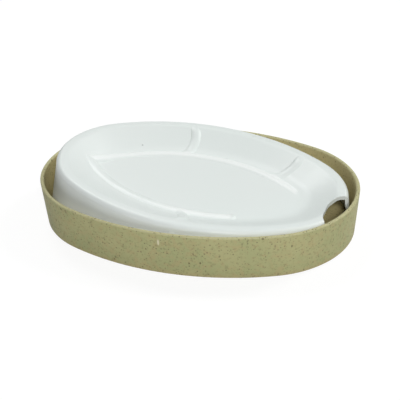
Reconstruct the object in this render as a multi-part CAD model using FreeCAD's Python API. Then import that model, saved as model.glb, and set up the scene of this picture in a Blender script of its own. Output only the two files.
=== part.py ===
import FreeCAD, Part
import math
import os

# Soap dish of two loose pieces: a shallow oval tray, and a sloped soap insert that stands inside it.
# Millimetres and degrees, +Z up, +X towards the drain end. The origin is the middle of the tray's base.

# Tray: thin drafted wall, and a raised floor inside a foot ring
tray_length = 140.0
tray_width = 95.0
tray_height = 20.0
tray_end_share = 0.88
tray_wall = 1.6
tray_draft = 4.3
tray_base_ease = 0.6
tray_rim_ease = 0.4
floor_height = 5.0
floor_thickness = 2.4
foot_ring_width = 4.0
touching = 0.0005

# Insert: a skirt on the tray's floor, and over it a flat crest that falls towards the drain end
insert_clearance = 0.5
insert_wall = 1.6
deck_height = 23.1
deck_slope = 5.3
crest_end_gap = 5.9
crest_side_gap = 3.4
crest_end_share = 0.79
crest_shift = 1.8
crest_round = 2.0
crest_collar = 0.2
crest_band = 4.7

# Dish: the hollow in the deck that holds the soap, with an even floor and sloped sides
dish_depth = 6.4
dish_slope = 27.0
dish_edge_round = 5.0
dish_floor_round = 12.0

# Leaf veins: raised beads on the dish. Two long arcs bound the leaf, and side veins bow from it to the dish's edge
leaf_tip = -50.6
leaf_middle = -0.3
leaf_half_width = 23.5
back_vein_end = 41.5
front_vein_end = 19.3
high_vein_leaf = -14.6
high_vein_edge = -14.5
low_vein_leaf = 26.5
low_vein_edge = 38.0
front_vein_leaf = -2.6
front_vein_edge = 0.8
side_vein_bow = 2.8
vein_radius = 4.0
vein_height = 0.7
vein_stations = 7

# Drain notch through the deck and the skirt at the low end
notch_depth = 8.3
notch_width = 27.8
notch_offset = -10.3
notch_corner = 10.0


def point(x, y, z=0.0):
    return FreeCAD.Vector(x, y, z)


def slope_of(degrees):
    return math.tan(math.radians(degrees))


def oval_side(half_length, half_width, end_radius):
    """Radius of a four-centre oval's side arcs, and how far their centre lies beyond the long axis."""
    reach = half_length - end_radius
    radius = (reach ** 2 + half_width ** 2 - end_radius ** 2) / (2 * (half_width - end_radius))
    return radius, radius - half_width


def oval(half_length, half_width, end_radius, z):
    """Four-centre oval: end arcs and side arcs, tangent where they meet, each split at its middle."""
    reach = half_length - end_radius
    side_radius, side_centre = oval_side(half_length, half_width, end_radius)
    join = math.atan2(side_centre, reach)
    half_turn = math.pi

    def arc(x, y, radius, first, last):
        circle = Part.Circle(point(x, y, z), point(0, 0, 1), radius)
        return Part.ArcOfCircle(circle, first, last).toShape()

    return Part.Wire([
        arc(reach, 0, end_radius, 0, join),
        arc(0, -side_centre, side_radius, join, half_turn / 2),
        arc(0, -side_centre, side_radius, half_turn / 2, half_turn - join),
        arc(-reach, 0, end_radius, half_turn - join, half_turn),
        arc(-reach, 0, end_radius, -half_turn, join - half_turn),
        arc(0, side_centre, side_radius, join - half_turn, -half_turn / 2),
        arc(0, side_centre, side_radius, -half_turn / 2, -join),
        arc(reach, 0, end_radius, -join, 0),
    ])


def tray_oval(inset, z):
    """The rim's outline, moved inwards by an even distance."""
    half_width = tray_width / 2
    return oval(tray_length / 2 - inset, half_width - inset, tray_end_share * half_width - inset, z)


def loft(low, high):
    return Part.makeLoft([low, high], True, True)


def level_edges(shape, z):
    """Edges that lie flat at one height."""
    return [e for e in shape.Edges if abs(e.BoundBox.ZMin - z) + abs(e.BoundBox.ZMax - z) < touching]


def tray_inset(z):
    """How far the tray's outer wall stands in from the rim's outline at a height."""
    return (tray_height - z) * slope_of(tray_draft)


def make_tray():
    body = loft(tray_oval(tray_inset(0), 0), tray_oval(0, tray_height))
    body = body.makeChamfer(tray_base_ease, level_edges(body, 0))
    well = loft(tray_oval(tray_inset(floor_height) + tray_wall, floor_height), tray_oval(tray_wall, tray_height))
    ring = tray_oval(tray_inset(0) + foot_ring_width, 0)
    recess = Part.Face(ring).extrude(point(0, 0, floor_height - floor_thickness))
    body = body.cut(well).cut(recess)
    return body.makeChamfer(tray_rim_ease, level_edges(body, tray_height))


# The insert is drawn in its deck's own frame: the crest's plane is z = 0, and its oval's middle is the origin
crest_half_length = tray_length / 2 - crest_end_gap
crest_half_width = tray_width / 2 - crest_side_gap
crest_end_radius = crest_end_share * crest_half_width
deck_turn = FreeCAD.Rotation(point(0, 1, 0), deck_slope)
deck_place = FreeCAD.Placement(point(crest_shift, 0, deck_height - crest_shift * slope_of(deck_slope)), deck_turn)


def crest_oval(inset, z):
    """The crest's outline in the deck's frame, moved inwards by an even distance."""
    return oval(crest_half_length - inset, crest_half_width - inset, crest_end_radius - inset, z)


def in_deck_frame(shape):
    shape.Placement = deck_place.inverse()
    return shape


def skirt_body(inset, low, top):
    """The solid inside the skirt, or inside a parallel of it, from a height in the tray to a level of the deck."""
    foot_inset = tray_inset(floor_height) + tray_wall + insert_clearance
    return loft(in_deck_frame(tray_oval(foot_inset + inset, low)), crest_oval(inset, top))


def dish_hollow(grow):
    """What is hollowed out over the dish, or over the underside when grown by the wall."""
    spread = grow / math.sin(math.radians(dish_slope))

    def ring(level):
        return crest_oval(crest_band - spread - level / slope_of(dish_slope), level)

    above = insert_wall
    return loft(ring(-dish_depth - grow), ring(above))


def crest_distance(x, y):
    """How far a place in the deck's frame lies inside the crest's outline."""
    reach = crest_half_length - crest_end_radius
    side_radius, side_centre = oval_side(crest_half_length, crest_half_width, crest_end_radius)
    if abs(y) * reach < (abs(x) - reach) * side_centre:
        return crest_end_radius - math.hypot(abs(x) - reach, y)
    return side_radius - math.hypot(x, abs(y) + side_centre)


def dish_z(x, y):
    """Height of the dish in the deck's frame: crest, rounded edge, sloped side, rounded foot and floor."""
    run = dish_depth / slope_of(dish_slope)
    edge = dish_edge_round * slope_of(dish_slope / 2)
    foot = dish_floor_round * slope_of(dish_slope / 2)
    lean = math.cos(math.radians(dish_slope))
    past = crest_distance(x, y) - crest_band
    if past < -edge:
        return 0.0
    if past < edge * lean:
        return math.sqrt(dish_edge_round ** 2 - (past + edge) ** 2) - dish_edge_round
    if past < run - foot * lean:
        return -past * slope_of(dish_slope)
    if past < run + foot:
        return dish_floor_round - dish_depth - math.sqrt(dish_floor_round ** 2 - (run + foot - past) ** 2)
    return -dish_depth


def leaf_y(x):
    """Half-width of the leaf, which is bounded by two arcs."""
    half_length = leaf_middle - leaf_tip
    radius = (half_length ** 2 + leaf_half_width ** 2) / (2 * leaf_half_width)
    return leaf_half_width - radius + math.sqrt(radius ** 2 - (x - leaf_middle) ** 2)


def dish_edge_y(x):
    """Half-width of the dish at its edge."""
    side_radius, side_centre = oval_side(crest_half_length, crest_half_width, crest_end_radius)
    return math.sqrt((side_radius - crest_band) ** 2 - x ** 2) - side_centre


def bead_centre(x, y, height):
    """The middle of a bead that stands out of the dish by a height: it lies under the surface, square to it."""
    step = vein_height / 100
    rise_x = (dish_z(x + step, y) - dish_z(x - step, y)) / (2 * step)
    rise_y = (dish_z(x, y + step) - dish_z(x, y - step)) / (2 * step)
    square = point(-rise_x, -rise_y, 1).normalize()
    return point(x, y, dish_z(x, y)) - square * (vein_radius - height)


def vein(plan, end_height):
    """A round-ended bead that follows an arc in plan over the dish, and stands out by end_height at its far end."""
    places = plan.toShape().discretize(vein_stations)
    heights = [vein_height] * (vein_stations - 1) + [end_height]
    spots = [bead_centre(place.x, place.y, height) for place, height in zip(places, heights)]
    curve = Part.BSplineCurve()
    curve.interpolate(spots)
    path = curve.toShape()
    section = Part.makeCircle(vein_radius, spots[0], path.tangentAt(path.FirstParameter))
    tube = Part.Wire([path]).makePipeShell([Part.Wire([section])], True, False)
    ends = [Part.makeSphere(vein_radius, spot) for spot in (spots[0], spots[-1])]
    return tube.fuse(ends)


def long_vein(side, end, end_height):
    """One edge of the leaf, from its tip."""
    stations = (leaf_tip, (leaf_tip + end) / 2, end)
    return vein(Part.Arc(*[point(x, side * leaf_y(x)) for x in stations]), end_height)


def side_vein(side, leaf_x, edge_x):
    """A short vein that leaves the edge of the leaf, bows towards the drain end and dies away at the dish's edge."""
    start = point(leaf_x, side * leaf_y(leaf_x))
    stop = point(edge_x, side * dish_edge_y(edge_x))
    chord = stop - start
    bow = point(chord.y, -chord.x) * (side * side_vein_bow / chord.Length)
    return vein(Part.Arc(start, (start + stop) / 2 + bow, stop), 0)


def edges_along(shape, inset):
    """Edges in the crest's plane that run at an even distance inside its outline."""
    found = []
    for edge in level_edges(shape, 0):
        middle = edge.valueAt(sum(edge.ParameterRange) / 2)
        if abs(crest_distance(middle.x, middle.y) - inset) < crest_round / 2:
            found.append(edge)
    return found


def make_notch():
    """Rounded slot, open at the drain end and through the whole height."""
    inner = crest_shift + crest_half_length - notch_depth
    outer = tray_length
    half = notch_width / 2
    nook = notch_corner * (1 - math.sqrt(0.5))

    def at(x, y):
        return point(x, notch_offset + y, 0)

    lines = [
        Part.LineSegment(at(outer, -half), at(outer, half)),
        Part.LineSegment(at(outer, half), at(inner + notch_corner, half)),
        Part.Arc(at(inner + notch_corner, half), at(inner + nook, half - nook), at(inner, half - notch_corner)),
        Part.LineSegment(at(inner, half - notch_corner), at(inner, notch_corner - half)),
        Part.Arc(at(inner, notch_corner - half), at(inner + nook, nook - half), at(inner + notch_corner, -half)),
        Part.LineSegment(at(inner + notch_corner, -half), at(outer, -half)),
    ]
    outline = Part.Wire([line.toShape() for line in lines])
    return Part.Face(outline).extrude(point(0, 0, 2 * deck_height))


def make_insert():
    collar = crest_round + crest_collar
    cap = Part.Face(crest_oval(0, -collar)).extrude(point(0, 0, collar))
    hollow = dish_hollow(0)
    hollow = hollow.makeFillet(dish_floor_round, level_edges(hollow, -dish_depth))
    shell = skirt_body(0, floor_height, -collar).fuse(cap).cut(hollow)
    shell = shell.makeFillet(dish_edge_round, edges_along(shell, crest_band))
    shell = shell.makeFillet(crest_round, edges_along(shell, 0))
    veins = [
        long_vein(1, back_vein_end, 0),
        long_vein(-1, front_vein_end, vein_height),
        side_vein(1, high_vein_leaf, high_vein_edge),
        side_vein(1, low_vein_leaf, low_vein_edge),
        side_vein(-1, front_vein_leaf, front_vein_edge),
    ]
    for bead in veins:
        shell = shell.fuse(bead)
    cavity = skirt_body(insert_wall, floor_height - insert_wall, -insert_wall).cut(dish_hollow(insert_wall))
    shell = shell.cut(cavity)
    shell.Placement = deck_place
    return shell.cut(make_notch())


os.makedirs("parts", exist_ok=True)
tray = make_tray()
insert = make_insert()
for name, solid in (("outer_tray", tray), ("soap_insert", insert)):
    solid.exportStep(f"parts/{name}.step")
    print(name, solid.isValid(), len(solid.Solids), round(solid.Volume, 1), solid.BoundBox)
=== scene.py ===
import math

import bpy
from mathutils import Matrix, Vector

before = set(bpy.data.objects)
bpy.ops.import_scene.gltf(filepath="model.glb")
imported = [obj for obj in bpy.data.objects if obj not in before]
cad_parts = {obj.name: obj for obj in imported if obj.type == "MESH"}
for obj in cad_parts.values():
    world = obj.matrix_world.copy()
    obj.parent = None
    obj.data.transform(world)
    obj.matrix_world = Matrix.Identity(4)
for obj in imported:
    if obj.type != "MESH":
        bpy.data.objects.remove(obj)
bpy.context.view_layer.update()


# Outer tray: one shallow oval moulding in a plant-fibre composite, drafted and left satin.
# The olive-tan resin is clouded, and dark fibre ends and a few pale flecks show at its surface.
# It stands on a foot ring and carries the insert on its floor.
class Shade:
    """A value in a material: sums and products of such values add Math nodes."""

    def __init__(self, tree, socket=None):
        self.tree = tree
        self.socket = socket

    def node(self, kind, settings, inputs, output=0):
        """Adds a node: its settings first, then the values or links of its sockets."""
        made = self.tree.nodes.new(kind)
        for name, value in settings.items():
            setattr(made, name, value)
        for name, value in inputs.items():
            if isinstance(value, Shade):
                self.tree.links.new(value.socket, made.inputs[name])
            else:
                made.inputs[name].default_value = value
        return Shade(self.tree, made.outputs[output])

    def math(self, operation, first, second):
        return self.node("ShaderNodeMath", {"operation": operation}, {0: first, 1: second})

    def __add__(self, other):
        return self.math("ADD", self, other)

    def __radd__(self, other):
        return self.math("ADD", other, self)

    def __sub__(self, other):
        return self.math("SUBTRACT", self, other)

    def __rsub__(self, other):
        return self.math("SUBTRACT", other, self)

    def __mul__(self, other):
        return self.math("MULTIPLY", self, other)

    def __rmul__(self, other):
        return self.math("MULTIPLY", other, self)

    def vector(self, operation, second, output="Vector"):
        """This vector and a second one in a Vector Math node."""
        settings = {"operation": operation}
        return self.node("ShaderNodeVectorMath", settings, {0: self, 1: second}, output)

    def axis(self, name):
        """This vector's X, Y or Z."""
        return self.node("ShaderNodeSeparateXYZ", {}, {"Vector": self}, name)

    def noise(self, scale, detail, roughness):
        """Soft clouds over this place; a larger scale makes them smaller."""
        inputs = {"Vector": self, "Scale": scale, "Detail": detail, "Roughness": roughness}
        return self.node("ShaderNodeTexNoise", {}, inputs)

    def band(self, low, high):
        """0 below low and 1 above high, softly; the other way round where low is above high."""
        first, last = (0.0, 1.0) if low < high else (1.0, 0.0)
        settings = {"interpolation_type": "SMOOTHSTEP"}
        inputs = {0: self, 1: min(low, high), 2: max(low, high), 3: first, 4: last}
        return self.node("ShaderNodeMapRange", settings, inputs)

    def mix(self, first, second):
        """First colour where this value is 0, second where it is 1."""
        inputs = {0: self, 6: first, 7: second}
        return self.node("ShaderNodeMix", {"data_type": "RGBA"}, inputs, 2)

    def feed(self, shader, socket):
        """Links this value to a shader's socket."""
        self.tree.links.new(self.socket, shader.inputs[socket])


def new_material(name):
    """A new material, the starting point for its nodes, and its surface shader."""
    material = bpy.data.materials.new(name)
    material.use_nodes = True
    return material, Shade(material.node_tree), material.node_tree.nodes["Principled BSDF"]


def dress(piece, material):
    """Gives an object this one material."""
    piece.data.materials.clear()
    piece.data.materials.append(material)


def fibre_ends(place, cells, reach, share, upright):
    """Fibre ends at the surface: a soft speck in a share of the cells of a broken-up pattern."""
    drawn = place.node("ShaderNodeMapping", {}, {"Vector": place, "Scale": (1.0, 1.0, upright)})
    settings, inputs = {"feature": "F1"}, {"Vector": drawn, "Scale": cells}
    near = place.node("ShaderNodeTexVoronoi", settings, inputs, "Distance")
    lot = place.node("ShaderNodeTexVoronoi", settings, inputs, "Color")
    chosen = place.node("ShaderNodeSeparateColor", {}, {"Color": lot}, "Red")
    size = place.node("ShaderNodeSeparateColor", {}, {"Color": lot}, "Green")
    speck = (near - size * (0.6 * reach)).band(reach, 0.25 * reach)
    return speck * chosen.band(1 - share, 1.02 - share)


def mark(place, centre, reach):
    """One small mark on the surface: a soft-edged spot with these half sizes."""
    scaled = place.vector("SUBTRACT", centre).vector("DIVIDE", reach)
    off = place.node("ShaderNodeVectorMath", {"operation": "LENGTH"}, {0: scaled}, "Value")
    return off.band(1.0, 0.5)


tray_colour = (0.438, 0.424, 0.214, 1)
tray_green = (0.388, 0.4, 0.198, 1)
tray_brown = (0.44, 0.366, 0.186, 1)
# Painted highlight: the rim's top is given a paler colour, as where light falls on it.
rim_highlight = (0.53, 0.505, 0.29, 1)
# Painted bounce light: the inner walls and floor get a lighter, warmer tan, as light bouncing
# between the tan walls gives.
painted_bounce_tan = (0.53, 0.445, 0.225, 1)
fibre_dark = (0.095, 0.075, 0.036, 1)
fibre_pale = (0.66, 0.62, 0.44, 1)
foot_top = 0.003
floor_below, floor_full = 0.018, 0.015
rim_from, rim_full = 0.0193, 0.0198
# One small pale spot on the front outer wall.
pale_spot_centre, pale_spot_reach = (-0.0023, -0.0471, 0.0157), (0.0006, 0.003, 0.0018)
satin, satin_grain, satin_fibre = 0.54, 0.14, 0.08
relief_strength, relief_depth, fibre_pit = 0.12, 0.0002, 0.4
tray_gloss = 0.25

composite, shade, surface = new_material("tray_fibre_composite")
place = shade.node("ShaderNodeTexCoord", {}, {}, "Object")
height = place.axis("Z")
facing = shade.node("ShaderNodeNewGeometry", {}, {}, "Normal")
outwards = facing.vector("DOT_PRODUCT", place.vector("MULTIPLY", (1, 1, 0)), "Value")
inner_wall = outwards.band(-0.005, -0.02)
inner_floor = facing.axis("Z").band(0.5, 0.9) * height.band(floor_below, floor_full)
cloud = place.noise(scale=65.0, detail=3.0, roughness=0.6)
grain = place.noise(scale=900.0, detail=3.0, roughness=0.65)
tint = place.noise(scale=420.0, detail=2.0, roughness=0.5)
small_ends = fibre_ends(place, cells=900.0, reach=0.26, share=0.40, upright=1.0)
long_ends = fibre_ends(place, cells=400.0, reach=0.13, share=0.34, upright=0.6)
coarse_ends = fibre_ends(place, cells=230.0, reach=0.12, share=0.24, upright=0.8)
pale_ends = fibre_ends(place, cells=170.0, reach=0.06, share=0.10, upright=0.6)

# Each layer of colour over the clouded resin: where it lies, how far it covers, its colour.
tray_layers = [
    (tint.band(0.45, 0.7), 0.6, tray_brown),
    (height.band(foot_top, 0.0), 0.7, tray_brown),
    # painted warm bounce light on the inner walls and floor
    (inner_wall + inner_floor, 0.8, painted_bounce_tan),
    # painted highlight along the top of the rim
    (height.band(rim_from, rim_full), 0.8, rim_highlight),
    (grain.band(0.5, 0.72), 0.32, fibre_dark),
    (small_ends, 0.55, fibre_dark),
    (long_ends, 0.7, fibre_dark),
    (coarse_ends, 0.6, fibre_dark),
    (pale_ends, 0.8, fibre_pale),
    (mark(place, pale_spot_centre, pale_spot_reach), 0.9, fibre_pale),
]
base = cloud.band(0.35, 0.65).mix(tray_colour, tray_green)
for where, cover, colour in tray_layers:
    base = (where * cover).mix(base, colour)
base.feed(surface, "Base Color")
(satin + grain * satin_grain + long_ends * satin_fibre).feed(surface, "Roughness")
relief = {"Strength": relief_strength, "Distance": relief_depth,
          "Height": grain - long_ends * fibre_pit}
shade.node("ShaderNodeBump", {}, relief).feed(surface, "Normal")
surface.inputs["Specular IOR Level"].default_value = tray_gloss
dress(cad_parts["outer_tray"], composite)


# Soap insert: one white moulding, a sloped and dished deck on a drafted skirt.
# It is a smooth hard resin with a soft gloss, and leaf veins are raised in its dish.
# It stands loose on the tray's floor and lifts out by hand.
white_body = (0.768, 0.808, 0.79, 1)
white_cool = (0.755, 0.803, 0.784, 1)
# Painted highlight: the tops of the two long veins are given a paler white, as where light catches
# them.
highlight_white = (0.87, 0.895, 0.882, 1)
speck_grey = (0.25, 0.26, 0.25, 1)
vein_radius, vein_shift, vein_offset = 0.0656, 0.0009, 0.0421
vein_edge, vein_core = 0.0023, 0.0008
vein_fade, vein_stop = 0.011, 0.001
back_vein_start, back_vein_end = -0.07, 0.042
front_vein_start, front_vein_end = -0.008, 0.0205
highlight_cover, speck_cover = 0.8, 0.5
speck_centre, speck_reach = (-0.0323, 0.0209, 0.021), (0.0005, 0.0005, 0.0007)
polished, polish_spread = 0.33, 0.08
insert_gloss = 0.4

resin, shade, surface = new_material("insert_white_resin")
place = shade.node("ShaderNodeTexCoord", {}, {}, "Object")
plan = place.vector("MULTIPLY", (1, 1, 0))
along, across = place.axis("X"), place.axis("Y")
wash = place.noise(scale=22.0, detail=1.0, roughness=0.4)
polish = place.noise(scale=30.0, detail=1.0, roughness=0.4)


def painted_vein_highlight(side, start, end):
    """A painted highlight on the top of a long vein: a band on its arc that fades in at start and
    stops at end.
    """
    middle = (vein_shift, -side * vein_offset, 0)
    off = plan.vector("DISTANCE", middle, "Value") - vein_radius
    arc = (off * off).band(vein_edge ** 2, vein_core ** 2)
    half = (across * side).band(-vein_stop, vein_stop)
    begun = along.band(start - vein_fade, start + vein_fade)
    return arc * half * begun * along.band(end + vein_stop, end - vein_stop)


back_vein_highlight = painted_vein_highlight(1, back_vein_start, back_vein_end)
front_vein_highlight = painted_vein_highlight(-1, front_vein_start, front_vein_end)
speck = mark(place, speck_centre, speck_reach)
base = wash.band(0.3, 0.7).mix(white_body, white_cool)
# painted highlight on the tops of the long veins
base = ((back_vein_highlight + front_vein_highlight) * highlight_cover).mix(base, highlight_white)
base = (speck * speck_cover).mix(base, speck_grey)
base.feed(surface, "Base Color")
(polished + polish * polish_spread).feed(surface, "Roughness")
surface.inputs["Specular IOR Level"].default_value = insert_gloss
dress(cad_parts["soap_insert"], resin)


# Floor: a plain pale studio table of matt paper, laid flat under the dish.
# It throws light back as a pale grey does, and the camera and reflections see it as white.
# The dish's soft shadow still falls on it.
floor_half = 3.0
paper_grey, paper_roughness = (0.75, 0.75, 0.75, 1), 0.9
shadow_grey, paper_white, white_strength = (0.17, 0.17, 0.17, 1), (1, 1, 1, 1), 0.86

mesh = bpy.data.meshes.new("studio_floor")
corners = [(x * floor_half, y * floor_half, 0) for x, y in ((-1, -1), (1, -1), (1, 1), (-1, 1))]
mesh.from_pydata(corners, [], [(0, 1, 2, 3)])
table = bpy.data.objects.new("studio_floor", mesh)
bpy.context.scene.collection.objects.link(table)
paper, shade, surface = new_material("studio_paper")
surface.inputs["Base Color"].default_value = paper_grey
surface.inputs["Roughness"].default_value = paper_roughness
seen = shade.node("ShaderNodeLightPath", {}, {}, "Is Camera Ray")
mirrored = shade.node("ShaderNodeLightPath", {}, {}, "Is Glossy Ray")
passed = shade.node("ShaderNodeLightPath", {}, {}, "Is Transmission Ray")
matt = shade.node("ShaderNodeBsdfDiffuse", {}, {"Color": shadow_grey})
glow = shade.node("ShaderNodeEmission", {}, {"Color": paper_white, "Strength": white_strength})
white = shade.node("ShaderNodeAddShader", {}, {0: matt, 1: glow})
plain = Shade(shade.tree, surface.outputs["BSDF"])
look = shade.node("ShaderNodeMixShader", {}, {0: seen + mirrored + passed, 1: plain, 2: white})
look.feed(shade.tree.nodes["Material Output"], "Surface")
dress(table, paper)


# Studio light: three soft round lamps, one near the camera and two behind the dish.
# The room around is pale towards the back, as with a window there, and dim towards the front.
# Where the camera looks past the floor, it sees a plain white backdrop.
window_side, window_low, window_high = (0.25, 0.95, 0), -0.5, 0.7
window_tint, window_strength = (0.95, 1.0, 0.98, 1), 0.42
backdrop_white = (1, 1, 1, 1)
# Each lamp: its name, its place, the point it faces, its width and its power.
lamps = [
    ("lamp_front", (0.38, -0.92, 0.72), (0, 0, 0.01), 0.3, 9.3),
    ("lamp_left", (-0.46, 0.55, 0.97), (0, 0, 0), 0.4, 4.0),
    ("lamp_right", (0.66, 0.62, 0.82), (0, 0, 0), 0.3, 4.4),
]
for name, where, faces, width, power in lamps:
    lamp = bpy.data.lights.new(name, "AREA")
    lamp.shape = "DISK"
    lamp.size = width
    lamp.energy = power
    holder = bpy.data.objects.new(name, lamp)
    holder.location = where
    holder.rotation_euler = (Vector(where) - Vector(faces)).to_track_quat("Z", "Y").to_euler()
    bpy.context.scene.collection.objects.link(holder)

room = bpy.data.worlds.new("studio_room")
room.use_nodes = True
shade = Shade(room.node_tree)
way = shade.node("ShaderNodeTexCoord", {}, {}, "Generated")
window = way.vector("DOT_PRODUCT", window_side, "Value").band(window_low, window_high)
dim = shade.node("ShaderNodeBackground", {}, {"Color": (0, 0, 0, 1), "Strength": 0.0})
bright = shade.node("ShaderNodeBackground", {}, {"Color": window_tint, "Strength": window_strength})
air = shade.node("ShaderNodeMixShader", {}, {0: window, 1: dim, 2: bright})
backdrop = shade.node("ShaderNodeBackground", {}, {"Color": backdrop_white, "Strength": 1.0})
seen = shade.node("ShaderNodeLightPath", {}, {}, "Is Camera Ray")
around = shade.node("ShaderNodeMixShader", {}, {0: seen, 1: air, 2: backdrop})
around.feed(shade.tree.nodes["World Output"], "Surface")
bpy.context.scene.world = room
bpy.context.scene.view_settings.view_transform = "Standard"


# Camera: a long lens from the front right, looking down at the dish as the photograph does.
# Its turn, lift, roll, distance and focal length come from a fit to the dish's outlines.
turn, lift, roll = 0.30647, 0.53507, -0.03756
distance, aim = 0.44987, Vector((-0.0034165, 0.013501, 0))
image_width, focal_pixels, sensor_width = 400, 989.705, 36.0

level = math.cos(lift)
back = Vector((math.sin(turn) * level, -math.cos(turn) * level, math.sin(lift)))
right = Vector((math.cos(turn), math.sin(turn), 0))
up = back.cross(right)
rolled_right = math.cos(roll) * right + math.sin(roll) * up
rolled_up = math.cos(roll) * up - math.sin(roll) * right
lens = bpy.data.cameras.new("camera")
lens.sensor_width = sensor_width
lens.lens = focal_pixels * sensor_width / image_width
lens.clip_start = 0.01
camera = bpy.data.objects.new("camera", lens)
facing_frame = Matrix((rolled_right, rolled_up, back)).transposed().to_4x4()
camera.matrix_world = Matrix.Translation(aim + distance * back) @ facing_frame
bpy.context.scene.collection.objects.link(camera)
bpy.context.scene.camera = camera
